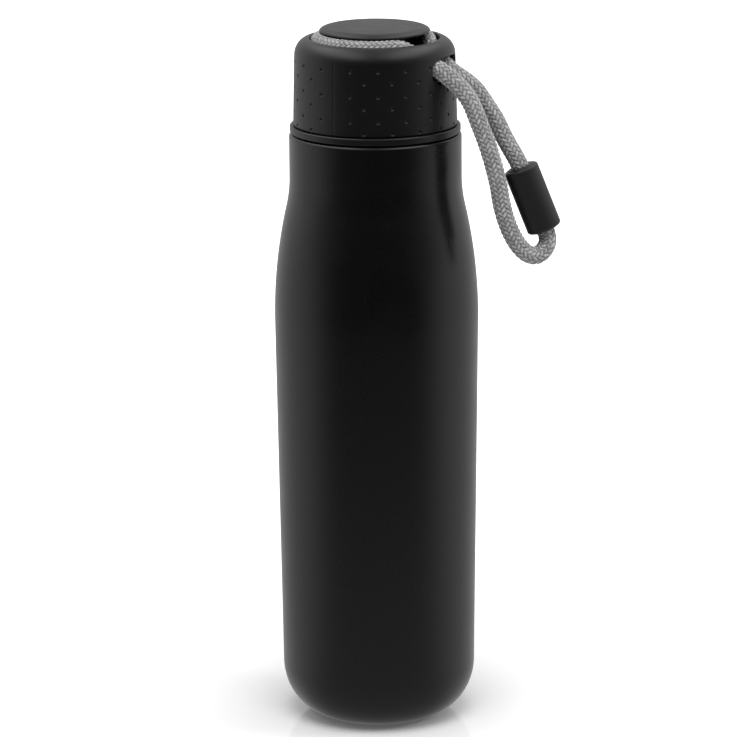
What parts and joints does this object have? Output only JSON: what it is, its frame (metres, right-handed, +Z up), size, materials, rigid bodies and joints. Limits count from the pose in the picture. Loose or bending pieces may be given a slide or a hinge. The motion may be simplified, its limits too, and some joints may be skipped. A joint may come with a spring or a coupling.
{
  "type": "vacuum flask",
  "caption": "Slim double-walled steel vacuum flask with a screw stopper lid, a disc on top and a braided carrying cord loop with a barrel connector.",
  "frame": {"origin": "centre of the flask's foot, on the surface that it stands on", "axes": "+Z up along the flask's axis; the cord hangs out of the lid on the +X side, turned a little towards -Y"},
  "size_m": [0.1011, 0.0726, 0.2509],
  "materials": {
    "black_paint": "smooth satin black powder coat",
    "bare_steel": "bare stainless steel, brushed round the axis",
    "sealing_glass": "fused sealing glass",
    "getter_alloy": "sintered grey metal",
    "foil": "bright foil",
    "black_plastic": "moulded polypropylene, fine matt texture",
    "soft_black_plastic": "moulded plastic with a fine matt grain",
    "foam": "expanded polystyrene",
    "silicone": "translucent grey silicone",
    "grey_braid": "braided polyester cord in mixed greys"
  },
  "bodies": {
    "flask": {"outer_shell": "black_paint", "outer_base": "bare_steel", "base_cover": "black_paint", "vacuum_seal": "sealing_glass", "getter": "getter_alloy", "radiation_foil": "foil", "inner_liner": "bare_steel", "liner_bottom": "bare_steel"},
    "seal": {"seal_ring": "silicone"},
    "lid": {"stopper_body": "black_plastic", "stopper_foam": "foam", "stopper_base": "black_plastic", "lid_shell": "soft_black_plastic", "top_disc": "soft_black_plastic", "cord_wrap": "grey_braid"},
    "strap": {"cord_front_strand": "grey_braid", "cord_rear_strand": "grey_braid", "cord_connector": "soft_black_plastic"}
  },
  "joints": [
    {"name": "lid_rise", "type": "slide", "parent": "flask", "child": "seal", "axis": [0, 0, 1], "range_m": [0, 0.032]},
    {"name": "lid_turn", "type": "hinge", "parent": "seal", "child": "lid", "pos_m": [0, 0, 0.2], "axis": [0, 0, 1], "range_deg": [0, 1440]},
    {"name": "strap_swing", "type": "hinge", "parent": "lid", "child": "strap", "pos_m": [0.02875, -0.0138, 0.2341], "axis": [-0.4181, -0.9039, 0.0904], "range_deg": [0, 95]}
  ],
  "couplings": [
    {"joint": "lid_rise", "follows": "lid_turn", "m_per_rad": 0.001273}
  ]
}
